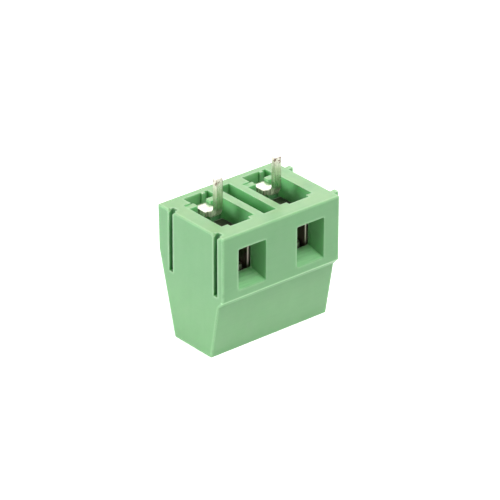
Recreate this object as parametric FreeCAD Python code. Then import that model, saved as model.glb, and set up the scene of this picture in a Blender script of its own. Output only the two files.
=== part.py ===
import FreeCAD, Part
import math
import os
from FreeCAD import Vector

# Two-pole screw terminal for a circuit board, lying with its solder pins up, in millimetres.
# X runs along the poles, -Y is the side where the wires enter, +Z points out of the board side.
# The origin is in the board's seating plane, in the middle of the row of pins.

# poles
pitch = 7.5
pole_count = 2

# contact strip of each pole: pin, plate, rear leg and current bar in one bent piece
strip_thickness = 0.55
strip_width = 1.5
pin_bend = 0.8
leg_bend = 0.35
pin_width = 0.8
pin_length = 3.8
pin_taper_length = 0.45
pin_tip_width = 0.6
pin_tip_thickness = 0.36
shoulder_gap = 0.02
shoulder_corner = 0.12
plate_drop = 0.5
bar_drop = 5.45
bar_width = 2.6
bar_front_gap = 0.35
bar_corner = 0.4

# clamping cage, folded from one strip of sheet around the current bar
cage_thickness = 0.4
cage_width = 3.9
cage_depth = 4.0
cage_bend = 0.1
cage_lap_gap = 0.02
cage_end_gap = 0.02
cage_lap_setback = 0.5
cage_floor_gap = 0.35
cage_edge = 0.1
wire_height = 3.1
closed_gap = 0.1

# clamping screw
screw_offset = -0.7
thread_diameter = 2.5
thread_clearance = 0.05
tip_gap = 0.05
tip_chamfer = 0.35
head_diameter = 3.8
head_height = 1.8
head_edge = 0.2
head_gap = 0.3
drive_slot_width = 0.6
drive_slot_depth = 0.8
drive_slot_turns = (25, 70)

# clearances of the metal parts in the housing
cage_side_gap = 0.1
cage_guide_gap = 0.1
chamber_front_gap = 0.35
chamber_rear_gap = 0.85
chamber_corner = 0.2
guide_gap = 0.05
seat_gap = 0.05
leg_gap = 0.125
head_side_gap = 0.08
head_seat_gap = 0.05

# chambers and pockets in the housing
upper_chamber_gap = 0.35
recess_width = 2.55
recess_depth = 0.45
guide_depth = 0.7
guide_drop = 0.15
pocket_left_reach = 1.15
pocket_right_reach = 1.9
pocket_back_gap = 0.475
pocket_rib_offset = 1.03
pocket_rib_width = 0.4
pocket_rib_depth = 0.3
core_slot_width = 1.55
core_slot_depth = 5.6
core_slot_rear_gap = 0.2

# wire windows in the front wall
window_side_gap = 0.05
window_funnel = 0.15
window_head_drop = 1.75
window_head_funnel = 0.4
sill_gap = 0.15
sill_ramp = 0.65
window_corner = 0.12

# outside of the housing
front_wall = 2.25
rear_wall = 0.78
rear_face_height = 4.8
rear_draft = 0.13
front_face_rest = 0.85
front_step_depth = 0.73
front_step_drop = 0.75
base_front_wall = 0.775
base_rear_wall = 0.94
lip_thickness = 1.58
access_diameter = 3.5
access_chamfer = 0.25
outer_edge = 0.1
profile_edge = 0.1
front_rim_edge = 0.12

# interlock: dovetail grooves on the left end, ribs on the right end
groove_length = 6.7
groove_front_inset = 1.125
groove_rear_inset = 2.01
rib_root_width = 0.5
rib_head_width = 0.64
rib_height = 0.6
rib_corner = 0.1
rib_end_gap = 0.1
rib_lead_in = 0.3
interlock_gap = 0.05
groove_mouth = 0.3

# levels worked out from the sizes above, all measured from the board plane
plate_top = -plate_drop
bar_top = -bar_drop
bar_bottom = bar_top - strip_thickness
cage_top = bar_top + wire_height + cage_thickness
cage_floor = bar_bottom - cage_floor_gap
cage_bottom = cage_floor - 2 * cage_thickness - cage_lap_gap
cage_travel = wire_height - closed_gap
head_top = cage_bottom - cage_travel - head_gap
head_bottom = head_top - head_height
lip_top = head_bottom - head_seat_gap
base_level = lip_top - lip_thickness
sill_inner = bar_top - sill_gap
sill_outer = sill_inner - sill_ramp
front_face_bottom = sill_outer - front_face_rest
front_step_bottom = front_face_bottom - front_step_drop

# places along the depth, worked out from the screw and the cage
cage_front = screw_offset - cage_depth / 2
cage_rear = screw_offset + cage_depth / 2
chamber_front = cage_front - chamber_front_gap
chamber_rear = cage_rear + chamber_rear_gap
pocket_front = chamber_rear + guide_depth
leg_inner = pocket_front + leg_gap
leg_outer = leg_inner + strip_thickness
pocket_rear = leg_outer + pocket_back_gap
rear_face = pocket_rear + rear_wall
rear_knee = rear_face - rear_draft
front_face = chamber_front - front_wall
recess_front = chamber_front - recess_depth
head_bore_radius = head_diameter / 2 + head_side_gap
base_front = screw_offset - head_bore_radius - base_front_wall
base_rear = screw_offset + head_bore_radius + base_rear_wall

housing_width = pole_count * pitch
chamber_width = cage_width + 2 * cage_side_gap
cage_inner_width = cage_width - 2 * cage_thickness
window_inner_width = cage_inner_width + 2 * window_side_gap
window_outer_width = window_inner_width + 2 * window_funnel
cut_past = 1.0
near_zero = 1e-6

across = (Vector(0, 1, 0), Vector(0, 0, 1))
along = (Vector(1, 0, 0), Vector(0, 0, 1))
plan = (Vector(1, 0, 0), Vector(0, 1, 0))


def pole_places():
    return [(number - (pole_count - 1) / 2) * pitch for number in range(pole_count)]


def point_in(plane, a, b):
    return plane[0] * a + plane[1] * b


def box_between(x_range, y_range, z_range):
    size = [high - low for low, high in (x_range, y_range, z_range)]
    return Part.makeBox(size[0], size[1], size[2], Vector(x_range[0], y_range[0], z_range[0]))


def moved(shape, x):
    return shape.translated(Vector(x, 0, 0))


# A closed outline in a plane, with each corner given as (a, b, radius).
def rounded_outline(plane, corners):
    count = len(corners)
    starts = []
    bends = []
    for number, (a, b, radius) in enumerate(corners):
        corner = point_in(plane, a, b)
        before = point_in(plane, *corners[number - 1][:2])
        after = point_in(plane, *corners[(number + 1) % count][:2])
        to_before = (before - corner).normalize()
        to_after = (after - corner).normalize()
        if radius == 0:
            starts.append((corner, corner))
            continue
        half_angle = to_before.getAngle(to_after) / 2
        reach = radius / math.tan(half_angle)
        middle_way = (to_before + to_after).normalize()
        centre = corner + middle_way * (radius / math.sin(half_angle))
        first = corner + to_before * reach
        last = corner + to_after * reach
        bends.append(Part.Arc(first, centre - middle_way * radius, last).toShape())
        starts.append((first, last))
    runs = []
    for number in range(count):
        leave = starts[number - 1][1]
        arrive = starts[number][0]
        if leave.distanceToPoint(arrive) > near_zero:
            runs.append(Part.LineSegment(leave, arrive).toShape())
    return Part.Wire(Part.sortEdges(runs + bends)[0])


def prism(plane, corners, start, length):
    normal = plane[0].cross(plane[1])
    face = Part.Face(rounded_outline(plane, corners))
    return face.translated(normal * start).extrude(normal * length)


# One side of a bent strip: straight runs joined by arcs, offset from the strip's middle line.
def strip_side(plane, path, thickness, offset):
    points = [point_in(plane, a, b) for a, b, bend in path]
    ways = [(points[i + 1] - points[i]).normalize() for i in range(len(points) - 1)]
    normal = plane[0].cross(plane[1])
    edges = []
    leave = points[0] + normal.cross(ways[0]) * offset
    for number in range(1, len(points) - 1):
        way_in = ways[number - 1]
        way_out = ways[number]
        turn = 1 if way_in.cross(way_out).dot(normal) > 0 else -1
        middle_radius = path[number][2] + thickness / 2
        reach = middle_radius * math.tan(way_in.getAngle(way_out) / 2)
        side_in = normal.cross(way_in)
        side_out = normal.cross(way_out)
        centre = points[number] - way_in * reach + side_in * (turn * middle_radius)
        radius = middle_radius - turn * offset
        first = points[number] - way_in * reach + side_in * offset
        last = points[number] + way_out * reach + side_out * offset
        middle = centre + (points[number] - centre).normalize() * radius
        edges.append(Part.LineSegment(leave, first).toShape())
        edges.append(Part.Arc(first, middle, last).toShape())
        leave = last
    end = points[-1] + normal.cross(ways[-1]) * offset
    edges.append(Part.LineSegment(leave, end).toShape())
    return edges, points[0] + normal.cross(ways[0]) * offset, end


# Sheet metal bent along a path of points (a, b, inner bend radius), centred on the path's plane.
def bent_strip(plane, path, thickness, width):
    left, left_start, left_end = strip_side(plane, path, thickness, thickness / 2)
    right, right_start, right_end = strip_side(plane, path, thickness, -thickness / 2)
    caps = [
        Part.LineSegment(left_start, right_start).toShape(),
        Part.LineSegment(left_end, right_end).toShape(),
    ]
    outline = Part.Wire(Part.sortEdges(left + right + caps)[0])
    normal = plane[0].cross(plane[1])
    return Part.Face(outline).translated(normal * (-width / 2)).extrude(normal * width)


def housing_body():
    corners = [
        (front_face, 0, front_rim_edge),
        (front_face, front_face_bottom, profile_edge),
        (front_face + front_step_depth, front_step_bottom, profile_edge),
        (base_front, base_level, profile_edge),
        (base_rear, base_level, profile_edge),
        (rear_knee, -rear_face_height, profile_edge),
        (rear_face, 0, profile_edge),
    ]
    body = prism(across, corners, -housing_width / 2, housing_width)
    ends = [edge for edge in body.Edges if abs(abs(edge.BoundBox.Center.x) - housing_width / 2) < near_zero]
    return body.makeFillet(outer_edge, ends)


# Dovetail section of the interlock rib, or of its groove when a clearance is added.
def interlock_section(y, clearance):
    slope = (rib_head_width - rib_root_width) / 2 / rib_height
    inner = -rib_height / 2
    outer = rib_height + clearance
    narrow = rib_root_width / 2 + slope * inner + clearance
    wide = rib_root_width / 2 + slope * outer + clearance
    return [
        (inner, y - narrow, 0), (outer, y - wide, rib_corner),
        (outer, y + wide, rib_corner), (inner, y + narrow, 0),
    ]


def interlock_places():
    return [front_face + groove_front_inset, rear_face - groove_rear_inset]


# A rib is flush with the board side, and its other end is cut back to be led into a groove.
def interlock_rib(y):
    right = housing_width / 2
    section = [(x + right, y_at, radius) for x, y_at, radius in interlock_section(y, 0.0)]
    length = groove_length - rib_end_gap
    rib = prism(plan, section, -length, length)
    tip = right + rib_height
    corners = [
        (tip + cut_past, -length + rib_lead_in + cut_past, 0),
        (tip - rib_lead_in - cut_past, -length - cut_past, 0),
        (tip + cut_past, -length - cut_past, 0),
    ]
    return rib.cut(prism(along, corners, -housing_width, 2 * housing_width))


def interlock_groove(y):
    left = -housing_width / 2
    section = [(x + left, y_at, radius) for x, y_at, radius in interlock_section(y, interlock_gap)]
    return prism(plan, section, -groove_length, groove_length + cut_past)


# Widened mouth at the board end of a groove, where the neighbour's rib is led in.
def groove_lead_in(y):
    half = rib_root_width / 2 + interlock_gap
    left = -housing_width / 2
    corners = [
        (y - half - groove_mouth, 0, 0), (y + half + groove_mouth, 0, 0),
        (y + half, -groove_mouth, 0), (y - half, -groove_mouth, 0),
    ]
    return prism(across, corners, left - cut_past, cut_past + groove_mouth)


def upper_chamber():
    half = chamber_width / 2
    corners = [
        (-half, chamber_front, 0), (half, chamber_front, 0),
        (half, chamber_rear, chamber_corner), (-half, chamber_rear, chamber_corner),
    ]
    bottom = cage_floor - upper_chamber_gap
    return prism(plan, corners, bottom, -bottom + cut_past)


def lower_chamber():
    half = chamber_width / 2
    half_depth = cage_depth / 2 + cage_guide_gap
    return box_between(
        (-half, half),
        (screw_offset - half_depth, screw_offset + half_depth),
        (head_top, 0),
    )


def front_recess():
    half = recess_width / 2
    rear = chamber_front + cut_past
    return box_between((-half, half), (recess_front, rear), (-window_head_drop, cut_past))


def guide_opening():
    half = strip_width / 2 + guide_gap
    slot = box_between((-half, half), (chamber_front, pocket_front), (bar_bottom - seat_gap, cut_past))
    ledge = box_between(
        (-chamber_width / 2, chamber_width / 2),
        (chamber_rear - chamber_corner, pocket_front),
        (-guide_drop, cut_past),
    )
    return slot.fuse(ledge)


# Pocket for the strip's rear leg, with one rib that is nearer the right end.
# Its rear wall follows the slope of the housing.
def rear_pocket():
    floor = bar_bottom - seat_gap
    slope = (rear_knee - base_rear) / (-rear_face_height - base_level)
    floor_rear = pocket_rear - slope * (-rear_face_height - floor)
    corners = [
        (pocket_front, cut_past, 0), (pocket_front, floor, 0),
        (floor_rear, floor, 0), (pocket_rear, -rear_face_height, 0), (pocket_rear, cut_past, 0),
    ]
    pocket = prism(across, corners, -pocket_left_reach, pocket_left_reach + pocket_right_reach)
    rib = box_between(
        (pocket_rib_offset, pocket_rib_offset + pocket_rib_width),
        (pocket_rear - pocket_rib_depth, pocket_rear + cut_past),
        (floor - cut_past, 2 * cut_past),
    )
    return pocket.cut(rib)


def head_bore():
    bore = Part.makeCylinder(head_bore_radius, head_top - lip_top, Vector(0, screw_offset, lip_top))
    access_radius = access_diameter / 2
    access = Part.makeCylinder(
        access_radius, lip_thickness + 2 * cut_past, Vector(0, screw_offset, base_level - cut_past)
    )
    mouth = Part.makeCone(
        access_radius + access_chamfer, access_radius, access_chamfer, Vector(0, screw_offset, base_level)
    )
    return bore.fuse([access, mouth])


# Wire window: a funnel through the front wall, with a sill that rises inwards to the current bar.
def wire_window():
    def frame_at(y, width, top, bottom):
        half = width / 2
        corners = [
            (-half, top, window_corner), (half, top, window_corner),
            (half, bottom, window_corner), (-half, bottom, window_corner),
        ]
        return rounded_outline(along, corners).translated(Vector(0, y, 0))

    head_inner = -window_head_drop - window_head_funnel
    outer = frame_at(front_face, window_outer_width, -window_head_drop, sill_outer)
    inner = frame_at(chamber_front, window_inner_width, head_inner, sill_inner)
    past = frame_at(chamber_front + chamber_front_gap / 2, window_inner_width, head_inner, sill_inner)
    before = frame_at(front_face - cut_past, window_outer_width, -window_head_drop, sill_outer)
    funnel = Part.makeLoft([outer, inner], True, True)
    mouth = Part.makeLoft([before, outer], True, True)
    return funnel.fuse([mouth, Part.makeLoft([inner, past], True, True)])


def core_slot():
    half = core_slot_width / 2
    rear = pocket_rear - core_slot_rear_gap
    return box_between((-half, half), (recess_front, rear), (-core_slot_depth, cut_past))


def pole_openings():
    parts = [lower_chamber(), front_recess(), guide_opening(), rear_pocket(), head_bore(), wire_window()]
    return upper_chamber().fuse(parts)


def make_housing():
    body = housing_body()
    body = body.fuse([interlock_rib(y) for y in interlock_places()])
    openings = pole_openings()
    cuts = [moved(openings, x) for x in pole_places()]
    walls = [x + pitch / 2 for x in pole_places()[:-1]]
    cuts += [moved(core_slot(), x) for x in walls]
    for y in interlock_places():
        cuts.append(interlock_groove(y))
        cuts.append(groove_lead_in(y))
    return body.cut(cuts).removeSplitter()


# Plan of the strip's upper run: the pin's width through its bend, then the plate's full width.
def plate_plan():
    half_pin = pin_width / 2
    half_strip = strip_width / 2
    front = -strip_thickness / 2 - cut_past
    shoulder = strip_thickness / 2 + pin_bend + shoulder_gap
    behind = leg_outer + cut_past
    return [
        (-half_pin, front, 0), (half_pin, front, 0), (half_pin, shoulder, shoulder_corner),
        (half_strip, shoulder, shoulder_corner), (half_strip, behind, 0), (-half_strip, behind, 0),
        (-half_strip, shoulder, shoulder_corner), (-half_pin, shoulder, shoulder_corner),
    ]


# The current bar is full width only in the chamber: it is necked where it passes the guides.
def bar_plan():
    half_strip = strip_width / 2
    half_bar = bar_width / 2
    front = cage_front + bar_front_gap
    wide_to = cage_rear + bar_front_gap
    behind = leg_outer + cut_past
    return [
        (-half_bar, front, bar_corner), (half_bar, front, bar_corner), (half_bar, wide_to, bar_corner),
        (half_strip, wide_to, 0), (half_strip, behind, 0), (-half_strip, behind, 0),
        (-half_strip, wide_to, 0), (-half_bar, wide_to, bar_corner),
    ]


# The four faces of the pin's pointed tip are cut by wedges.
def tip_wedges():
    taper = pin_length - pin_taper_length
    top = pin_length + cut_past
    wedges = []
    sections = ((across, strip_thickness, pin_tip_thickness), (along, pin_width, pin_tip_width))
    for plane, full, narrow in sections:
        for side in (-1, 1):
            outside = side * (full / 2 + cut_past)
            corners = [
                (side * full / 2, taper, 0), (outside, taper, 0),
                (outside, top, 0), (side * narrow / 2, top, 0), (side * narrow / 2, pin_length, 0),
            ]
            wedges.append(prism(plane, corners, -strip_width, 2 * strip_width))
    return wedges


def make_contact(x):
    half = strip_thickness / 2
    plate_middle = plate_top - half
    leg_middle = leg_outer - half
    bar_middle = bar_top - half
    path = [
        (0, pin_length, 0), (0, plate_middle, pin_bend), (leg_middle, plate_middle, leg_bend),
        (leg_middle, bar_middle, leg_bend), (cage_front + bar_front_gap, bar_middle, 0),
    ]
    strip = bent_strip(across, path, strip_thickness, bar_width)
    halfway = (plate_middle + bar_middle) / 2
    upper = prism(plan, plate_plan(), halfway, pin_length - halfway)
    lower = prism(plan, bar_plan(), bar_bottom, halfway - bar_bottom)
    strip = strip.common(upper).fuse(strip.common(lower))
    return moved(strip.cut(tip_wedges()).removeSplitter(), x)


# The long edges of the wire opening are chamfered, front and rear, so that they don't cut the strands.
def eased_cage(cage):
    opening = cage_inner_width / 2
    edges = []
    for edge in cage.Edges:
        middle = edge.BoundBox.Center
        upright = edge.BoundBox.ZLength > wire_height / 2 and edge.BoundBox.XLength < near_zero
        if upright and edge.BoundBox.YLength < near_zero and abs(abs(middle.x) - opening) < near_zero:
            edges.append(edge)
    return cage.makeChamfer(cage_edge, edges)


def make_cage(x):
    half = cage_thickness / 2
    side = cage_width / 2 - half
    top = cage_top - half
    inner_lap = cage_floor - half
    outer_lap = inner_lap - cage_thickness - cage_lap_gap
    free_end = cage_inner_width / 2 - cage_bend - cage_end_gap
    corners = [(-side, inner_lap), (-side, top), (side, top), (side, outer_lap)]
    path = [(free_end, inner_lap, 0)]
    path += [(a, b, cage_bend) for a, b in corners]
    path.append((-side + cage_lap_setback, outer_lap, 0))
    cage = bent_strip(along, path, cage_thickness, cage_depth)
    cage = cage.translated(Vector(0, screw_offset, 0))
    hole_radius = thread_diameter / 2 + thread_clearance
    depth = 2 * cage_thickness + cage_lap_gap + cage_floor_gap
    hole = Part.makeCylinder(hole_radius, depth + cut_past, Vector(0, screw_offset, cage_bottom - cut_past))
    cage = eased_cage(cage).cut(hole)
    return moved(cage.removeSplitter(), x)


def make_screw(x, slot_turn):
    shank = thread_diameter / 2
    head = head_diameter / 2
    tip = bar_bottom - tip_gap
    profile = [
        (0, tip, 0), (shank - tip_chamfer, tip, 0), (shank, tip - tip_chamfer, 0), (shank, head_top, 0),
        (head - head_edge, head_top, 0), (head, head_top - head_edge, 0), (head, head_bottom + head_edge, 0),
        (head - head_edge, head_bottom, 0), (0, head_bottom, 0),
    ]
    face = Part.Face(rounded_outline(along, profile))
    screw = face.revolve(Vector(0, 0, 0), Vector(0, 0, 1), 360)
    slot = box_between(
        (-head_diameter, head_diameter),
        (-drive_slot_width / 2, drive_slot_width / 2),
        (head_bottom - cut_past, head_bottom + drive_slot_depth),
    )
    slot.rotate(Vector(0, 0, 0), Vector(0, 0, 1), slot_turn)
    return screw.cut(slot).translated(Vector(x, screw_offset, 0))


def side_name(number):
    names = ("left", "right")
    return names[number] if pole_count == len(names) else str(number + 1)


def make_parts():
    parts = {"housing": make_housing()}
    for number, x in enumerate(pole_places()):
        side = side_name(number)
        parts["contact_" + side] = make_contact(x)
        parts["cage_" + side] = make_cage(x)
        parts["screw_" + side] = make_screw(x, drive_slot_turns[number % len(drive_slot_turns)])
    return parts


os.makedirs("parts", exist_ok=True)
for node, shape in make_parts().items():
    shape.exportStep("parts/" + node + ".step")
    print(node, "solids", len(shape.Solids), "valid", shape.isValid(), "volume", round(shape.Volume, 3))
print("cage travel", round(cage_travel, 3), "base level", round(base_level, 3))
print("front", round(front_face, 3), "rear", round(rear_face, 3))
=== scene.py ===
import math

import bpy
from mathutils import Matrix, Vector


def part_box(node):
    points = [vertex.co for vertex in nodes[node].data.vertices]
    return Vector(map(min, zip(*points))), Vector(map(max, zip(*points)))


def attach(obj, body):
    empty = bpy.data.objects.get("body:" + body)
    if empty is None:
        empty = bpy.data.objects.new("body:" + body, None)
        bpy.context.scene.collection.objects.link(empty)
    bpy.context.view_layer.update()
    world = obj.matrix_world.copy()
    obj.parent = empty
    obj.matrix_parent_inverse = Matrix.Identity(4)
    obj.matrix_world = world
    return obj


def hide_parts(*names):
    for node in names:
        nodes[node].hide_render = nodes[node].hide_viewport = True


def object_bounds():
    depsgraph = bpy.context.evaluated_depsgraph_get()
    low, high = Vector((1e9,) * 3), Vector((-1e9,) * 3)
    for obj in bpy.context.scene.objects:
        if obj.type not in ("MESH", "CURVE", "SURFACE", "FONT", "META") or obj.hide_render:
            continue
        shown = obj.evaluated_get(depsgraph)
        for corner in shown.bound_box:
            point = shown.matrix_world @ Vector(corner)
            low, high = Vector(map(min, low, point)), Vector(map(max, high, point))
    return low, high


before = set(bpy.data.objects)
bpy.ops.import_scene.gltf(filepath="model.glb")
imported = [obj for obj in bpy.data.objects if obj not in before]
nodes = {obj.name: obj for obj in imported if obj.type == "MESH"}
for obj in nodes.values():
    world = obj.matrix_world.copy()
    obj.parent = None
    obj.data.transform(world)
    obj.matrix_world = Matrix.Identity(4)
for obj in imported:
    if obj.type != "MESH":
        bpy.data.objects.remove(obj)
cadLow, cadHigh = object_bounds()
print("frame loaded:", len(nodes), "nodes")


# Sums in node trees
# A value is a socket that can be used in an expression.
class Value:
    def __init__(self, work, socket):
        self.work = work
        self.socket = socket

    def __add__(self, other):
        return self.work.math("ADD", self, other)

    def __radd__(self, other):
        return self.work.math("ADD", other, self)

    def __sub__(self, other):
        return self.work.math("SUBTRACT", self, other)

    def __rsub__(self, other):
        return self.work.math("SUBTRACT", other, self)

    def __mul__(self, other):
        return self.work.math("MULTIPLY", self, other)

    def __truediv__(self, other):
        return self.work.math("DIVIDE", self, other)

    def __lt__(self, other):
        return self.work.math("LESS_THAN", self, other)

    def __gt__(self, other):
        return self.work.math("GREATER_THAN", self, other)

    def __abs__(self):
        return self.work.math("ABSOLUTE", self)


class NodeWork:
    def __init__(self, tree):
        self.tree = tree
        self.tree.nodes.clear()

    def node(self, kind, settings=None, out=0, **inputs):
        made = self.tree.nodes.new(kind)
        for name, setting in (settings or {}).items():
            if name == "stops":                               # a ramp's (place, grey) pairs
                self.setStops(made.color_ramp, setting)
            elif name == "choices":                           # how many inputs an index switch has
                while len(made.index_switch_items) < setting:
                    made.index_switch_items.new()
            else:
                setattr(made, name, setting)
        for name, value in inputs.items():
            key = int(name[1:]) if name[0] == "_" else name.replace("_", " ")
            self.feed(made.inputs[key], value)
        return Value(self, made.outputs[out])

    def feed(self, socket, value):
        if isinstance(value, Value):
            self.tree.links.new(value.socket, socket)
        elif isinstance(value, list):                         # several shapes joined in one input
            for one in value:
                self.tree.links.new(one.socket, socket)
        elif hasattr(socket.default_value, "__len__"):
            wanted = len(socket.default_value)
            socket.default_value = (tuple(value) + (1.0,))[:wanted]
        else:
            socket.default_value = value

    def math(self, operation, first, second=0.0, clamp=False):
        return self.node("ShaderNodeMath", {"operation": operation, "use_clamp": clamp}, _0=first, _1=second)

    def least(self, first, second):
        return self.math("MINIMUM", first, second)

    def most(self, first, second):
        return self.math("MAXIMUM", first, second)

    # A value times a gain, kept between 0 and 1.
    def share(self, value, gain):
        return self.math("MULTIPLY", value, gain, clamp=True)

    def vector(self, operation, first, second):
        return self.node("ShaderNodeVectorMath", {"operation": operation}, _0=first, _1=second)

    # How far a place lies along an axis: 0 for X, 1 for Y and 2 for Z.
    def along(self, where, axis):
        return self.node("ShaderNodeSeparateXYZ", None, axis, Vector=where)

    def joined(self, x=0.0, y=0.0, z=0.0):
        return self.node("ShaderNodeCombineXYZ", X=x, Y=y, Z=z)


perMetre = 1000.0                                             # millimetres in a metre
edgeSamples = 8                                               # rays for edges and inner corners
facingSpans = {"up": (2, 0.3, 0.6), "front": (1, -0.3, -0.7)}  # an axis, and where along it the share rises


# A material, or the world, as a tree.
class Finish(NodeWork):
    def __init__(self, name, owner=None):
        self.material = owner or bpy.data.materials.new(name)
        self.material.use_nodes = True
        super().__init__(self.material.node_tree)

    def setStops(self, ramp, stops):
        while len(ramp.elements) < len(stops):
            ramp.elements.new(0.5)
        for element, (place, grey) in zip(ramp.elements, stops):
            element.position = place
            element.color = (grey, grey, grey, 1.0)

    def mixColour(self, factor, first, second, blend="MIX"):
        settings = {"data_type": "RGBA", "blend_type": blend}
        return self.node("ShaderNodeMix", settings, 2, _0=factor, _6=first, _7=second)

    def ramp(self, factor, stops):
        return self.node("ShaderNodeValToRGB", {"stops": stops}, Fac=factor)

    def inMillimetres(self, stretch=(1.0, 1.0, 1.0)):
        place = self.node("ShaderNodeTexCoord", None, 3)
        return self.vector("MULTIPLY", place, tuple(perMetre * s for s in stretch))

    # A noise whose scale is per millimetre, drawn out along the axes with a small stretch.
    def pattern(self, scale, detail=2.0, roughness=0.5, distortion=0.0, stretch=(1.0, 1.0, 1.0)):
        return self.node(
            "ShaderNodeTexNoise", Vector=self.inMillimetres(stretch), Scale=scale, Detail=detail,
            Roughness=roughness, Distortion=distortion,
        )

    def patches(self, stops, **kind):
        return self.ramp(self.pattern(**kind), stops)

    # Rays sent inwards near an outer edge meet the piece's next face. In a corner, rays sent outwards do.
    def occluded(self, inside, reach):
        settings = {"inside": inside, "only_local": True, "samples": edgeSamples}
        return 1.0 - self.node("ShaderNodeAmbientOcclusion", settings, 1, Distance=reach)

    def outerEdge(self, reach, gain):
        return self.share(self.occluded(True, reach), gain)

    def crevice(self, reach, start, gain):
        return self.share(self.occluded(False, reach) - start, gain)

    # The share of a band between two levels, such as a pin's tip, that a point has passed, in millimetres.
    def band(self, where, axis, start, end):
        return self.share(self.along(where, axis) - start, 1.0 / (end - start))

    # The zone between two levels, with a soft border, in millimetres.
    def between(self, where, axis, low, high, soft=0.08):
        return self.band(where, axis, low - soft, low) * self.band(where, axis, high + soft, high)

    # How far a face looks upwards or to the front: 1 for those that do, 0 for the rest.
    def facing(self, side):
        return self.band(self.node("ShaderNodeTexCoord", None, 1), *facingSpans[side])

    # Edges that catch the light as rounded ones do, with a fine relief on the faces.
    def relief(self, height, strength, distance, edgeRadius):
        soft = self.node("ShaderNodeBevel", {"samples": edgeSamples}, Radius=edgeRadius)
        return self.node("ShaderNodeBump", Height=height, Strength=strength, Distance=distance, Normal=soft)

    def surface(self, shader, kind="ShaderNodeOutputMaterial"):
        out = self.tree.nodes.new(kind)
        self.tree.links.new(shader.socket, out.inputs["Surface"])
        return self.material

    def finish(self, **inputs):
        return self.surface(self.node("ShaderNodeBsdfPrincipled", **inputs))


# Materials
# Levels and zones are in millimetres from the board plane and the row of pins. The relief, the milky depth and
# the reach of a corner or an edge are in metres.
nylon = {
    "green": (0.170, 0.427, 0.175),
    "paleGreen": (0.191, 0.452, 0.194),
    "cloud": {"scale": 0.28, "detail": 3.0, "roughness": 0.55},
    "cloudShare": 0.65,
    "flow": {"scale": 0.9, "stretch": (1.0, 1.0, 0.22)},
    "shadeStops": ((0.32, 0.0), (0.68, 1.0)),
    "streaks": {
        "scale": 1.6, "detail": 3.0, "roughness": 0.6, "stretch": (0.22, 2.6, 2.6),
        "stops": ((0.36, 1.0), (0.50, 0.0)),
    },
    "streakShare": 0.04,
    "streaksOnTop": 0.08,
    # Painted shade on the upper walls and painted light on the lower walls.
    "upperPaintedShade": (0.935, 0.980, 0.945),
    "lowerPaintedLight": (1.055, 1.050, 1.010),
    "paintedLightLevels": (-5.5, -9.5),
    # The rim colour is a painted sheen on the tops of the rims.
    "rimSheen": {"green": (0.270, 0.480, 0.210), "levels": (-0.4, -0.3), "stops": ((0.34, 0.35), (0.62, 0.9))},
    "inside": {
        "green": (0.245, 0.68, 0.275), "depthGreen": (0.035, 0.120, 0.042),
        "reach": 0.002, "start": 0.08, "gain": 4.5,
        "fromFront": (-3.2, 2.2), "softness": 2.4, "across": (-6.4, 6.4),
        "floor": (-4.8, -4.5), "frontWall": (-3.4, -3.2),
        "poleAcross": 3.75, "halfWidth": 2.15, "mouth": (0.0, -0.2), "chamberShare": 0.9,
        "depthLevels": (-2.1, -6.0), "rearLevels": (-0.9, -1.7), "depthShare": 0.72,
    },
    # The sill colour is painted light.
    "sill": {
        "green": (0.31, 0.67, 0.32), "paintedLightFade": (-5.3, -4.3), "frontShare": 0.45,
        "fromFront": (-5.2, -2.95), "levels": (-6.4, -5.1), "across": (-6.0, 6.0),
        "sillStreaks": {
            "scale": 1.5, "detail": 3.0, "roughness": 0.6, "stretch": (0.3, 3.0, 3.0),
            "stops": ((0.34, 0.6), (0.58, 1.0)),
        },
    },
    # The grooves get painted shade in the crevice green.
    "endGrooves": {
        "middle": -0.7025, "apart": 6.945, "reach": 0.45, "across": (-7.38, -6.3), "ends": (-6.85, -6.65),
        "share": 0.75,
    },
    # The crevice colour is painted shade for the inner corners; it also darkens the streaks and the grooves.
    "crevice": {"green": (0.055, 0.215, 0.075), "reach": 0.00035, "start": 0.32, "gain": 2.2},
    # The edge colour is a painted highlight on the outer edges and the step line.
    "edge": {
        "green": (0.46, 0.74, 0.43), "reach": 0.0003, "gain": 1.5, "share": 0.8, "lessInside": 0.4,
        "highlightBreakup": {"scale": 2.4, "detail": 3.0, "roughness": 0.6}, "breakupSpan": 0.5, "breakupLeast": 0.72,
        "stepLine": (-7.18, -7.06), "stepFace": (-4.9, -5.1),
    },
    "quietEdges": {
        "middle": 1.75, "away": 3.75, "reach": 0.22, "sillLine": (-6.4, -6.1), "sillShare": 0.6,
        "frontFace": (-5.0, -5.2), "levels": (-6.4, -1.9), "share": 0.8,
    },
    "gloss": {"scale": 1.7, "detail": 3.0, "roughness": 0.6},
    "glossSpan": 0.14,
    "roughness": 0.33,
    "grain": {"scale": 9.0, "detail": 4.0, "roughness": 0.6},
    "relief": {"strength": 0.3, "distance": 0.000002, "edgeRadius": 0.00010},
    "ior": 1.64,
    "milky": 0.35,
    "milkyReach": (0.0005, 0.0015, 0.0007),
}


# The chambers and slots, where the walls light each other greener and the light fades downwards.
def shadeInside(f, where, rimSheen, colour):
    inside = nylon["inside"]
    walls = f.between(where, 1, *inside["fromFront"], inside["softness"])
    walls = walls * f.between(where, 0, *inside["across"])
    walls = walls * f.band(where, 2, *inside["floor"]) * f.band(where, 1, *inside["frontWall"])
    fromPole = abs(abs(f.along(where, 0)) - inside["poleAcross"])
    chambers = (fromPole < inside["halfWidth"]) * f.band(where, 2, *inside["mouth"]) * walls
    inner = f.crevice(inside["reach"], inside["start"], inside["gain"]) * walls
    inner = f.most(inner, chambers * (1.0 - rimSheen) * inside["chamberShare"])
    depth = f.band(where, 2, *inside["depthLevels"]) * inner
    rear = f.facing("front") * f.band(where, 2, *inside["rearLevels"]) * inner
    colour = f.mixColour(inner, colour, inside["green"])
    return f.mixColour(f.most(depth, rear) * inside["depthShare"], colour, inside["depthGreen"]), walls
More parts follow.
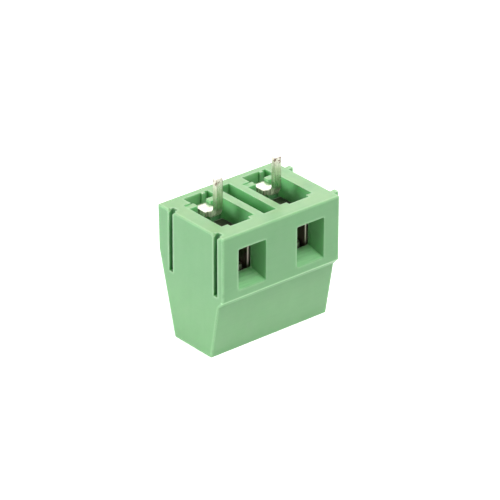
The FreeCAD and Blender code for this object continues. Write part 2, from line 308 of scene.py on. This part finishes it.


# Painted light on the window sills, broken by streaks along them, and less of it at the front.
def paintSillLight(f, where, up, colour):
    sill = nylon["sill"]
    zone = up * f.between(where, 1, *sill["fromFront"]) * f.between(where, 2, *sill["levels"])
    zone = zone * f.between(where, 0, *sill["across"])
    zone = zone * (f.band(where, 1, *sill["paintedLightFade"]) * (1.0 - sill["frontShare"]) + sill["frontShare"])
    return f.mixColour(zone * f.patches(**sill["sillStreaks"]), colour, sill["green"])


# Painted shade in the two grooves in the left end, dark almost down to their ends.
def shadeGrooves(f, where, up, colour):
    groove = nylon["endGrooves"]
    fromMiddle = abs(f.along(where, 1) - groove["middle"])
    near = abs(fromMiddle - groove["apart"] / 2) < groove["reach"]
    near = near * f.between(where, 0, *groove["across"]) * f.band(where, 2, *groove["ends"]) * (1.0 - up)
    return f.mixColour(near * groove["share"], colour, nylon["crevice"]["green"])


# Painted highlights on the outer edges and the line of the front step, broken up by noise. The right edges and
# sills of the windows get less of them.
def paintEdgeHighlights(f, where, walls, colour):
    edge, quiet = nylon["edge"], nylon["quietEdges"]
    fromRightEdge = abs(abs(f.along(where, 0) - quiet["middle"]) - quiet["away"])
    sillLine = f.between(where, 2, *quiet["sillLine"]) * quiet["sillShare"]
    still = f.most(fromRightEdge < quiet["reach"], sillLine)
    still = still * f.band(where, 1, *quiet["frontFace"]) * f.between(where, 2, *quiet["levels"])
    edgeHighlights = f.outerEdge(edge["reach"], edge["gain"]) * (edge["share"] - walls * edge["lessInside"])
    step = f.between(where, 2, *edge["stepLine"]) * f.band(where, 1, *edge["stepFace"])
    highlightBreakup = f.pattern(**edge["highlightBreakup"]) * edge["breakupSpan"] + edge["breakupLeast"]
    return f.mixColour(f.most(edgeHighlights * (1.0 - still * quiet["share"]), step) * highlightBreakup, colour, edge["green"])


def mouldedNylon():
    f = Finish("mouldedNylon")
    where = f.inMillimetres()
    up = f.facing("up")
    cloud = f.pattern(**nylon["cloud"])                       # slow shade changes from the moulding
    flow = f.pattern(**nylon["flow"])
    shade = f.ramp(cloud * nylon["cloudShare"] + flow * (1.0 - nylon["cloudShare"]), nylon["shadeStops"])
    colour = f.mixColour(shade, nylon["green"], nylon["paleGreen"])
    streaks = f.patches(**nylon["streaks"]) * (nylon["streakShare"] + up * nylon["streaksOnTop"])
    colour = f.mixColour(streaks, colour, nylon["crevice"]["green"])
    # Painted shade on the upper walls and painted light on the lower walls; faces that look up are left out.
    paintedLightFade = f.mixColour(f.band(where, 2, *nylon["paintedLightLevels"]), nylon["upperPaintedShade"], nylon["lowerPaintedLight"])
    colour = f.mixColour(1.0 - up, colour, paintedLightFade, "MULTIPLY")
    # A painted sheen on the tops of the rims, patchy with the cloud.
    rimSheen = up * f.band(where, 2, *nylon["rimSheen"]["levels"])
    colour = f.mixColour(rimSheen * f.ramp(cloud, nylon["rimSheen"]["stops"]), colour, nylon["rimSheen"]["green"])
    colour, walls = shadeInside(f, where, rimSheen, colour)
    colour = paintSillLight(f, where, up, colour)
    colour = shadeGrooves(f, where, up, colour)
    # Painted shade in the inner corners.
    corner = nylon["crevice"]
    colour = f.mixColour(f.crevice(corner["reach"], corner["start"], corner["gain"]), colour, corner["green"])
    colour = paintEdgeHighlights(f, where, walls, colour)
    return f.finish(
        Base_Color=colour, Roughness=f.pattern(**nylon["gloss"]) * nylon["glossSpan"] + nylon["roughness"],
        Normal=f.relief(f.pattern(**nylon["grain"]), **nylon["relief"]), IOR=nylon["ior"],
        Subsurface_Weight=nylon["milky"], Subsurface_Radius=nylon["milkyReach"], Subsurface_Scale=1.0,
    )


tin = {
    "bright": (0.83, 0.82, 0.755),
    "warm": (0.68, 0.65, 0.54),
    "dull": (0.36, 0.34, 0.27),
    "cloud": {"scale": 1.6, "detail": 4.0, "roughness": 0.6, "distortion": 0.4},
    "cloudStops": ((0.38, 0.0), (0.66, 1.0)),
    "drawn": {"scale": 16.0, "stretch": (1.0, 1.0, 0.12)},
    "lines": {
        "scale": 2.4, "detail": 3.0, "roughness": 0.6, "stretch": (3.2, 3.2, 0.30),
        "stops": ((0.46, 0.0), (0.60, 1.0)),
    },
    "lineShare": 0.45,
    "spots": {"scale": 5.5, "detail": 3.0, "roughness": 0.65, "stops": ((0.58, 0.0), (0.74, 1.0))},
    "spotShare": 0.6,
    # A painted green reflection of the housing on the pin.
    "shaftGreenReflection": {"tint": (0.86, 0.97, 0.84), "levels": (-0.6, -0.3)},
    "tip": {
        "grey": (0.60, 0.56, 0.46), "greyShare": 0.3, "levels": (2.3, 3.1), "tipDark": (0.17, 0.110, 0.080),
        "tipDarkSpots": {"scale": 3.4, "detail": 3.0, "roughness": 0.62}, "darkSpotsMore": 0.10,
        "darkSpotStops": ((0.60, 0.0), (0.69, 1.0)),
        "cornerBreakup": {"scale": 1.9, "stops": ((0.36, 0.0), (0.50, 1.0))},
        # This reach paints a dark reflection along the corners of the tip.
        "corner": {"reach": 0.00010, "gain": 1.6},
        # The end of the tip gets a painted highlight.
        "cut": (0.96, 0.95, 0.92), "cutLevels": (3.42, 3.56),
    },
    # The side faces get a painted green reflection, with dark lines along them.
    "sideGreenReflection": {"colour": (0.62, 0.69, 0.48), "line": (0.17, 0.19, 0.11), "levels": (0.15, -0.2), "share": 0.8},
    # The bend gets a painted highlight.
    "bend": {"cream": (1.0, 1.0, 0.84), "levels": (0.10, -0.25), "front": (0.75, 0.45)},
    "matt": 0.85,
    "roughness": 0.13,
    "rougher": {"cloud": 0.22, "drawn": 0.12, "dark": 0.25, "bend": 0.2},
    "relief": {"strength": 0.35, "distance": 0.00001, "edgeRadius": 0.00009},
    "drawnRelief": 0.6,
}


def tinPlate():
    f = Finish("tinPlate")
    where = f.inMillimetres()
    cloud = f.pattern(**tin["cloud"])
    colour = f.mixColour(f.ramp(cloud, tin["cloudStops"]), tin["bright"], tin["warm"])
    drawn = f.pattern(**tin["drawn"])
    lines = f.patches(**tin["lines"])
    colour = f.mixColour(lines * tin["lineShare"], colour, tin["dull"])
    spots = f.patches(**tin["spots"])
    colour = f.mixColour(spots * tin["spotShare"], colour, tin["dull"])
    ends = tin["tip"]
    tip = f.band(where, 2, *ends["levels"])
    # A painted green reflection of the housing, from just below the board plane up to the tip.
    shaftGreenReflection = f.band(where, 2, *tin["shaftGreenReflection"]["levels"]) * (1.0 - tip)
    colour = f.mixColour(shaftGreenReflection, colour, tin["shaftGreenReflection"]["tint"], "MULTIPLY")
    colour = f.mixColour(tip * ends["greyShare"], colour, ends["grey"])
    # Dark spots near the tip, and a painted dark reflection along the corners of the tip.
    tipDarkSpots = f.ramp(f.pattern(**ends["tipDarkSpots"]) + tip * ends["darkSpotsMore"], ends["darkSpotStops"]) * tip
    corner = f.outerEdge(**ends["corner"]) * f.patches(**ends["cornerBreakup"])
    paintedTipHighlight = f.band(where, 2, *ends["cutLevels"])                # a painted highlight on the end of the tip, kept clear of the dark
    dark = f.most(tipDarkSpots, corner * tip) * (1.0 - paintedTipHighlight)
    colour = f.mixColour(dark, colour, ends["tipDark"])
    colour = f.mixColour(paintedTipHighlight, colour, ends["cut"])
    # A painted green reflection on the side faces low down, with dark lines along them; the faces are made
    # less metallic.
    sideGreenReflection = f.band(where, 2, *tin["sideGreenReflection"]["levels"]) * (1.0 - f.facing("up"))
    lined = f.mixColour(lines, tin["sideGreenReflection"]["colour"], tin["sideGreenReflection"]["line"])
    colour = f.mixColour(sideGreenReflection * tin["sideGreenReflection"]["share"], colour, lined)
    bend = f.band(where, 2, *tin["bend"]["levels"]) * f.band(where, 1, *tin["bend"]["front"])
    bend = bend * f.facing("front")
    colour = f.mixColour(bend, colour, tin["bend"]["cream"])  # a painted highlight on the front of the outside of the bend, cream and matt
    more = tin["rougher"]
    rough = cloud * more["cloud"] + drawn * more["drawn"] + dark * more["dark"] + bend * more["bend"]
    height = drawn * tin["drawnRelief"] + spots * (1.0 - tin["drawnRelief"])
    return f.finish(
        Base_Color=colour, Roughness=rough + tin["roughness"], Normal=f.relief(height, **tin["relief"]),
        Metallic=1.0 - f.most(bend, sideGreenReflection) * tin["matt"],
    )


cageSheet = {
    "olive": (0.300, 0.285, 0.215),
    "plum": (0.470, 0.320, 0.340),
    # The shade colour is painted shade for the faces that look up.
    "shade": (0.030, 0.031, 0.020),
    "shadeShare": 0.9,
    "bright": (0.88, 0.85, 0.74),
    "cloud": {"scale": 0.9, "detail": 4.0, "roughness": 0.62, "distortion": 0.6},
    "cloudStops": ((0.35, 0.0), (0.70, 1.0)),
    "rolled": {"scale": 22.0, "stretch": (0.15, 1.0, 1.0)},
    "spots": {"scale": 3.1, "detail": 3.0, "roughness": 0.65, "stops": ((0.60, 0.0), (0.72, 1.0))},
    "spotShare": 0.6,
    "fewerOnTop": 0.42,
    "edge": {"reach": 0.00016, "gain": 1.8},
    "dullerOnTop": 0.5,
    "matt": 0.6,
    "roughness": 0.21,
    "rougher": {"cloud": 0.2, "rolled": 0.14},
    "relief": {"strength": 0.3, "distance": 0.000008, "edgeRadius": 0.00008},
}


def cageSteel():
    f = Finish("cageSteel")
    up = f.facing("up")
    cloud = f.pattern(**cageSheet["cloud"])
    colour = f.mixColour(f.ramp(cloud, cageSheet["cloudStops"]), cageSheet["olive"], cageSheet["plum"])
    # Painted shade on the faces of the cage that look up.
    colour = f.mixColour(up * cageSheet["shadeShare"], colour, cageSheet["shade"])
    # Bright spots are painted glints, fewer on the faces that look up.
    spots = f.patches(**cageSheet["spots"]) * (cageSheet["spotShare"] - up * cageSheet["fewerOnTop"])
    colour = f.mixColour(spots, colour, cageSheet["bright"])
    # A painted highlight along the edges, weaker on faces that look up; the edges are made less metallic.
    edge = f.outerEdge(**cageSheet["edge"]) * (1.0 - up * cageSheet["dullerOnTop"])
    colour = f.mixColour(edge, colour, cageSheet["bright"])
    rolled = f.pattern(**cageSheet["rolled"])
    rough = cloud * cageSheet["rougher"]["cloud"] + rolled * cageSheet["rougher"]["rolled"]
    return f.finish(
        Base_Color=colour, Roughness=rough + cageSheet["roughness"], Metallic=1.0 - edge * cageSheet["matt"],
        Normal=f.relief(rolled, **cageSheet["relief"]),
    )


zinc = {
    "bright": (0.62, 0.63, 0.63),
    "tarnish": (0.50, 0.475, 0.40),
    "grime": (0.16, 0.15, 0.135),
    "cloud": {"scale": 1.3, "detail": 4.0, "roughness": 0.6, "distortion": 0.5},
    "cloudStops": ((0.40, 0.0), (0.68, 1.0)),
    "specks": {"scale": 7.0, "detail": 3.0, "roughness": 0.7, "stops": ((0.62, 0.0), (0.76, 1.0))},
    "speckShare": 0.7,
    "turned": {"scale": 20.0, "stretch": (0.2, 0.2, 1.0)},
    "roughness": 0.17,
    "rougher": {"cloud": 0.18, "turned": 0.12},
    "relief": {"strength": 0.3, "distance": 0.000008, "edgeRadius": 0.00007},
}


def screwSteel():
    f = Finish("screwSteel")
    cloud = f.pattern(**zinc["cloud"])
    colour = f.mixColour(f.ramp(cloud, zinc["cloudStops"]), zinc["bright"], zinc["tarnish"])
    colour = f.mixColour(f.patches(**zinc["specks"]) * zinc["speckShare"], colour, zinc["grime"])
    turned = f.pattern(**zinc["turned"])
    rough = cloud * zinc["rougher"]["cloud"] + turned * zinc["rougher"]["turned"]
    return f.finish(
        Base_Color=colour, Roughness=rough + zinc["roughness"], Metallic=1.0,
        Normal=f.relief(turned, **zinc["relief"]),
    )


finishes = {"housing": mouldedNylon(), "contact": tinPlate(), "cage": cageSteel(), "screw": screwSteel()}
for name, piece in nodes.items():
    piece.data.materials.clear()
    piece.data.materials.append(finishes[name.split("_")[0]])
print("finishes set on", len(nodes), "nodes")


# Clamping screws
# The CAD screw is plain, and this one has its thread cut: right-hand, on the same shank, tip and head.
# Lengths are in metres, turns and angles in degrees.
screw = {
    "pitch": 0.00045,
    "threadDepth": 0.000244,
    "crestShare": 0.125,
    "flankGain": 1.6,                                         # leaves a quarter of the pitch for the root
    "shankRadius": 0.00125,
    "tipChamfer": 0.00035,
    "headHeight": 0.0018,
    "headEdge": 0.0002,
    "slotWidth": 0.0006,
    "slotDepth": 0.0008,
    "slotTurns": {"screw_left": 25.0, "screw_right": 70.0},
    "sunkIntoHead": 0.00005,
    "creaseAngle": 30.0,
    "facesAround": 48,
    "rowsPerTurn": 16,
    "endShare": 0.0001,
    "weldReach": 0.000001,
}


# A geometry tree with named inputs.
class Shape(NodeWork):
    def __init__(self, name, sizes, place, finish):
        super().__init__(bpy.data.node_groups.new(name, "GeometryNodeTree"))
        self.given = {**sizes, "Axis": place, "Finish": finish}
        kinds = {"Axis": "NodeSocketVector", "Finish": "NodeSocketMaterial"}
        for label in self.given:
            kind = kinds.get(label, "NodeSocketFloat")
            self.tree.interface.new_socket(name=label, in_out="INPUT", socket_type=kind)
        self.tree.interface.new_socket(name="Geometry", in_out="OUTPUT", socket_type="NodeSocketGeometry")
        self.entry = self.tree.nodes.new("NodeGroupInput")

    def size(self, label):
        return Value(self, self.entry.outputs[label])

    # A grid of unit size, with how far each point lies around (0 to 1) and along (0 to 1).
    def unitGrid(self, rows):
        around = screw["facesAround"] + 1
        grid = self.node("GeometryNodeMeshGrid", Size_X=1.0, Size_Y=1.0, Vertices_X=around, Vertices_Y=rows)
        place = self.node("GeometryNodeInputPosition")
        return grid, self.along(place, 0) + 0.5, self.along(place, 1) + 0.5

    # The grid wrapped round the axis, with its seam and its ends closed.
    def wrapped(self, grid, around, radius, level):
        angle = around * (2 * math.pi)
        x = radius * self.math("COSINE", angle)
        y = radius * self.math("SINE", angle)
        place = self.vector("ADD", self.joined(x, y, level), self.size("Axis"))
        placed = self.node("GeometryNodeSetPosition", Geometry=grid, Position=place)
        return self.node("GeometryNodeMergeByDistance", Geometry=placed, Distance=screw["weldReach"])

    def perRow(self, row, values):
        settings = {"data_type": "FLOAT", "choices": len(values)}
        choices = {"_%d" % (n + 1): value for n, value in enumerate(values)}
        return self.node("GeometryNodeIndexSwitch", settings, Index=row, **choices)

    # Turns the tree into a plain mesh object.
    def build(self, name, shape):
        whole = self.node("GeometryNodeRealizeInstances", Geometry=shape)
        painted = self.node("GeometryNodeSetMaterial", Geometry=whole, Material=self.size("Finish"))
        leave = self.tree.nodes.new("NodeGroupOutput")
        self.tree.links.new(painted.socket, leave.inputs["Geometry"])
        carrier = bpy.data.objects.new(name + "Carrier", bpy.data.meshes.new(name + "Carrier"))
        bpy.context.scene.collection.objects.link(carrier)
        modifier = carrier.modifiers.new("shape", "NODES")
        modifier.node_group = self.tree
        for item in self.tree.interface.items_tree:
            if item.in_out == "INPUT":
                modifier[item.identifier] = self.given[item.name]
        seen = carrier.evaluated_get(bpy.context.evaluated_depsgraph_get())
        mesh = bpy.data.meshes.new_from_object(seen)
        bpy.data.objects.remove(carrier)
        piece = bpy.data.objects.new(name, mesh)
        bpy.context.scene.collection.objects.link(piece)
        return piece


def cutThread(s):
    pitch, tip, shank = s.size("Pitch"), s.size("Tip level"), s.size("Shank radius")
    base = s.size("Head top") - screw["sunkIntoHead"]
    turns = s.math("CEIL", (tip - base) / pitch) + 1.0
    grid, around, along = s.unitGrid(turns * screw["rowsPerTurn"] + 1.0)
    climb = base - pitch + along * turns * pitch + around * pitch
    level = s.least(s.most(climb, base), tip)
    phase = s.math("FRACT", (level - base) / pitch - around + 1.0)
    fromCrest = abs(phase - 0.5) * 2.0
    flank = s.share(fromCrest - screw["crestShare"], screw["flankGain"])
    pointed = shank - s.size("Tip chamfer") + (tip - level)
    radius = s.least(shank - s.size("Thread depth") * flank, pointed)
    inner = (along > screw["endShare"]) * (along < 1.0 - screw["endShare"])  # the end rows close on the axis
    return s.wrapped(grid, around, radius * inner, level)


def slottedHead(s):
    low, high = s.size("Head bottom"), s.size("Head top")
    edge, full = s.size("Head edge"), s.size("Head radius")
    radii = [0.0, full - edge, full, full, full - edge, 0.0]
    levels = [low, low, low + edge, high - edge, high, high]
    grid, around, along = s.unitGrid(len(radii))
    row = s.math("ROUND", along * (len(radii) - 1.0))         # which ring of the turned profile
    head = s.wrapped(grid, around, s.perRow(row, radii), s.perRow(row, levels))
    size = s.joined(full * 3.0, s.size("Slot width"), s.size("Slot depth") * 2.0)  # reaches past the head
    cutter = s.node("GeometryNodeMeshCube", Size=size)
    place = s.vector("ADD", s.joined(z=low), s.size("Axis"))
    turn = s.joined(z=s.size("Slot turn"))
    cutter = s.node("GeometryNodeTransform", Geometry=cutter, Translation=place, Rotation=turn)
    settings = {"operation": "DIFFERENCE", "solver": "EXACT"}
    return s.node("GeometryNodeMeshBoolean", settings, _0=head, _1=cutter)


def makeScrew(node, turn):
    low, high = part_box(node)
    sizes = {
        "Pitch": screw["pitch"], "Thread depth": screw["threadDepth"],
        "Shank radius": screw["shankRadius"], "Tip chamfer": screw["tipChamfer"], "Tip level": high.z,
        "Head bottom": low.z, "Head top": low.z + screw["headHeight"],
        "Head edge": screw["headEdge"], "Head radius": (high.x - low.x) / 2,
        "Slot width": screw["slotWidth"], "Slot depth": screw["slotDepth"], "Slot turn": math.radians(turn),
    }
    middle = ((low.x + high.x) / 2, (low.y + high.y) / 2, 0.0)
    s = Shape("threadedScrew", sizes, middle, finishes["screw"])
    both = s.node("GeometryNodeJoinGeometry", Geometry=[cutThread(s), slottedHead(s)])
    smooth = s.node("GeometryNodeSetShadeSmooth", {"domain": "FACE"}, Geometry=both, Shade_Smooth=True)
    sharp = s.node("GeometryNodeInputMeshEdgeAngle") > math.radians(screw["creaseAngle"])
    crisp = s.node(
        "GeometryNodeSetShadeSmooth", {"domain": "EDGE"}, Geometry=smooth, Selection=sharp, Shade_Smooth=False
    )
    piece = s.build(node.replace("screw", "threadedScrew"), crisp)
    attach(piece, node)
    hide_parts(node)
    return piece


screws = [makeScrew(node, turn) for node, turn in screw["slotTurns"].items()]
print("screws cut:", [len(piece.data.polygons) for piece in screws], "faces")


# Studio
studio = {
    "floorSize": 3.0,
    "floorDrop": 0.00001,
    "floorColour": (0.80, 0.80, 0.80),
    "floorGlow": 0.36,
    "floorSeen": 0.80,
    "white": (1.0, 1.0, 1.0),
    "whiteSeen": 1.0,
    "skyLight": 0.02,
}


# One where the camera or a mirror looks, and nought for the light that falls on things.
def looking(f):
    camera = f.node("ShaderNodeLightPath", None, 0)
    mirror = f.node("ShaderNodeLightPath", None, 3)
    return f.most(camera, mirror)


# White paper, lit from above and glowing faintly so that it lights the object too, and clear from below.
def floorPaper():
    f = Finish("floorPaper")
    paper = f.node("ShaderNodeBsdfDiffuse", Color=studio["floorColour"])
    strength = looking(f) * (studio["floorSeen"] - studio["floorGlow"]) + studio["floorGlow"]
    glow = f.node("ShaderNodeEmission", Color=studio["white"], Strength=strength)
    lit = f.node("ShaderNodeAddShader", _0=paper, _1=glow)
    below = f.node("ShaderNodeNewGeometry", None, 6)
    clear = f.node("ShaderNodeBsdfTransparent")
    return f.surface(f.node("ShaderNodeMixShader", _0=below, _1=lit, _2=clear))


def makeFloor():
    half = studio["floorSize"] / 2
    level = cadLow.z - studio["floorDrop"]
    mesh = bpy.data.meshes.new("floor")
    corners = [(-half, -half, level), (half, -half, level), (half, half, level), (-half, half, level)]
    mesh.from_pydata(corners, [], [(0, 1, 2, 3)])
    floor = bpy.data.objects.new("floor", mesh)
    bpy.context.scene.collection.objects.link(floor)
    mesh.materials.append(floorPaper())


# The sky is white for the camera and for mirror rays, and only a faint light.
def makeWorld():
    world = bpy.data.worlds.new("studioAir")
    bpy.context.scene.world = world
    f = Finish("studioAir", world)
    air = f.node("ShaderNodeBackground", Color=studio["white"], Strength=studio["skyLight"])
    white = f.node("ShaderNodeBackground", Color=studio["white"], Strength=studio["whiteSeen"])
    f.surface(f.node("ShaderNodeMixShader", _0=looking(f), _1=air, _2=white), "ShaderNodeOutputWorld")


lamps = {
    "frontTop": {"place": (0.02, -0.085, 0.25), "size": 0.14, "power": 0.69},
    "leftBack": {"place": (-0.22, 0.10, 0.10), "size": 0.14, "power": 0.40},
    "rightBack": {"place": (0.20, 0.14, 0.16), "size": 0.16, "power": 0.17},
}


def makeLamps():
    middle = (cadLow + cadHigh) / 2
    for name, lamp in lamps.items():
        data = bpy.data.lights.new(name, "AREA")
        data.shape = "SQUARE"
        data.size = lamp["size"]
        data.energy = lamp["power"]
        light = bpy.data.objects.new(name, data)
        light.location = lamp["place"]
        light.rotation_mode = "QUATERNION"
        light.rotation_quaternion = (light.location - middle).to_track_quat("Z", "Y")
        bpy.context.scene.collection.objects.link(light)


makeFloor()
makeWorld()
makeLamps()
print("studio made:", len(lamps), "lamps")


# Camera
cameraPlace = {
    "azimuth": -39.838, "elevation": 27.403, "roll": 0.133,
    "target": (0.0, -0.00035, -0.005), "distance": 0.351355,
    "lens": 254.214, "sensor": 36.0, "clip": (0.01, 10.0),
    "targetPixel": (249.38, 244.944), "frame": 500.0,
}


def makeCamera():
    azimuth, elevation, roll = (math.radians(cameraPlace[name]) for name in ("azimuth", "elevation", "roll"))
    flat = math.cos(elevation)
    back = Vector((math.sin(azimuth) * flat, -math.cos(azimuth) * flat, math.sin(elevation)))
    level = Vector((0, 0, 1)).cross(back).normalized()
    upright = back.cross(level)
    right = level * math.cos(roll) + upright * math.sin(roll)
    up = upright * math.cos(roll) - level * math.sin(roll)
    perPixel = cameraPlace["distance"] * cameraPlace["sensor"] / cameraPlace["lens"] / cameraPlace["frame"]
    half = cameraPlace["frame"] / 2
    acrossFrame = (half - cameraPlace["targetPixel"][0]) * perPixel
    downFrame = (half - cameraPlace["targetPixel"][1]) * perPixel
    aim = Vector(cameraPlace["target"]) + right * acrossFrame - up * downFrame
    data = bpy.data.cameras.new("camera")
    data.lens = cameraPlace["lens"]
    data.sensor_width = cameraPlace["sensor"]
    data.clip_start, data.clip_end = cameraPlace["clip"]
    camera = bpy.data.objects.new("camera", data)
    camera.rotation_mode = "QUATERNION"
    camera.rotation_quaternion = Matrix((right, up, back)).transposed().to_quaternion()
    camera.location = aim + back * cameraPlace["distance"]
    bpy.context.scene.collection.objects.link(camera)
    bpy.context.scene.camera = camera


makeCamera()
bpy.context.scene.view_settings.view_transform = "Standard"
print("camera set")
